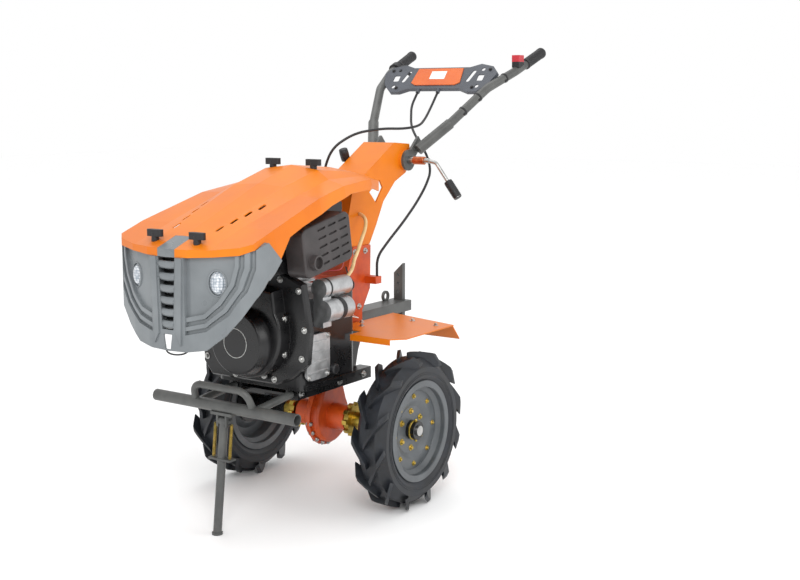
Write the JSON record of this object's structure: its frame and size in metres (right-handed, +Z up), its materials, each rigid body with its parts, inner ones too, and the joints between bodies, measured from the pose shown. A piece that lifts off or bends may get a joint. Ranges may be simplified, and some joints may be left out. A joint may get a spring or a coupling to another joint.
{
  "type": "walking tractor",
  "caption": "Two-wheeled walking tractor with a hooded air-cooled engine, gear drive to lugged tyres, handlebar with console, front bumper, folding stand and rear drag bar.",
  "frame": {"origin": "on the ground under the middle of the machine's bounding box, halfway between the wheels", "axes": "+Z up, +X to the operator's left, the machine's front towards -Y and its handlebar towards +Y"},
  "size_m": [0.708, 1.5567, 1.3605],
  "materials": {
    "tyre_rubber": "matt black farm tyre rubber",
    "rim_grey": "satin grey enamel",
    "hub_black": "satin black enamel",
    "zinc_yellow": "yellow passivated zinc plate",
    "steel": "bright turned steel",
    "casting_orange": "gloss orange enamel over sand casting",
    "sheet_orange": "gloss orange powder coat",
    "mask_grey": "satin moulded plastic",
    "frame_grey": "satin grey enamel",
    "spring_zinc": "zinc plate",
    "aluminium": "as cast",
    "engine_black": "semi-gloss black enamel",
    "lamp_glass": "clear ribbed lens",
    "knob_black": "moulded rubber and plastic",
    "console_grey": "grained moulded plastic",
    "insert_orange": "satin plastic panel",
    "cable_black": "black plastic sheath",
    "switch_red": "gloss moulded plastic"
  },
  "bodies": {
    "chassis": {"air_cleaner": "engine_black", "axle_shaft": "steel", "bumper": "frame_grey", "clutch_cable": "cable_black", "crankcase": "engine_black", "cylinder_head": "aluminium", "drag_bar": "frame_grey", "drive_case": "casting_orange", "engine_bed": "hub_black", "fan_shroud": "engine_black", "fender_brackets": "hub_black", "fender_left": "sheet_orange", "fender_right": "sheet_orange", "fuel_tank": "engine_black", "gear_lever": "steel", "gearbox": "casting_orange", "headlamp_left": "lamp_glass", "headlamp_right": "lamp_glass", "hitch": "frame_grey", "hood": "sheet_orange", "hood_knobs": "knob_black", "hood_mask": "mask_grey", "hood_stays": "steel", "muffler": "engine_black", "neck": "sheet_orange", "recoil_starter": "engine_black", "shift_cable": "cable_black", "stand_fork": "frame_grey", "starter_motor": "aluminium"},
    "wheel_left": {"tyre_left": "tyre_rubber", "rim_left": "rim_grey", "hub_left": "hub_black", "drive_flange_left": "zinc_yellow"},
    "wheel_right": {"tyre_right": "tyre_rubber", "rim_right": "rim_grey", "hub_right": "hub_black", "drive_flange_right": "zinc_yellow"},
    "handlebar": {"tube_left": "frame_grey", "tube_right": "frame_grey", "grip_left": "knob_black", "grip_right": "knob_black", "clamp_lever": "steel", "console": "console_grey", "console_insert": "insert_orange", "stop_switch": "switch_red", "throttle_lever": "cable_black"},
    "stand": {"stand_leg": "frame_grey", "stand_springs": "spring_zinc"}
  },
  "joints": [
    {"name": "wheel_left_spin", "type": "hinge", "parent": "chassis", "child": "wheel_left", "pos_m": [0.302, -0.105, 0.23], "axis": [1, 0, 0], "continuous": true},
    {"name": "wheel_right_spin", "type": "hinge", "parent": "chassis", "child": "wheel_right", "pos_m": [-0.302, -0.105, 0.23], "axis": [1, 0, 0], "continuous": true},
    {"name": "stand_fold", "type": "hinge", "parent": "chassis", "child": "stand", "pos_m": [0, -0.566, 0.312], "axis": [1, 0, 0], "range_deg": [0, 95]},
    {"name": "handlebar_tilt", "type": "hinge", "parent": "chassis", "child": "handlebar", "pos_m": [0, 0.239, 0.995], "axis": [1, 0, 0], "range_deg": [-30, 10], "deforming": ["clutch_cable", "shift_cable"]}
  ]
}
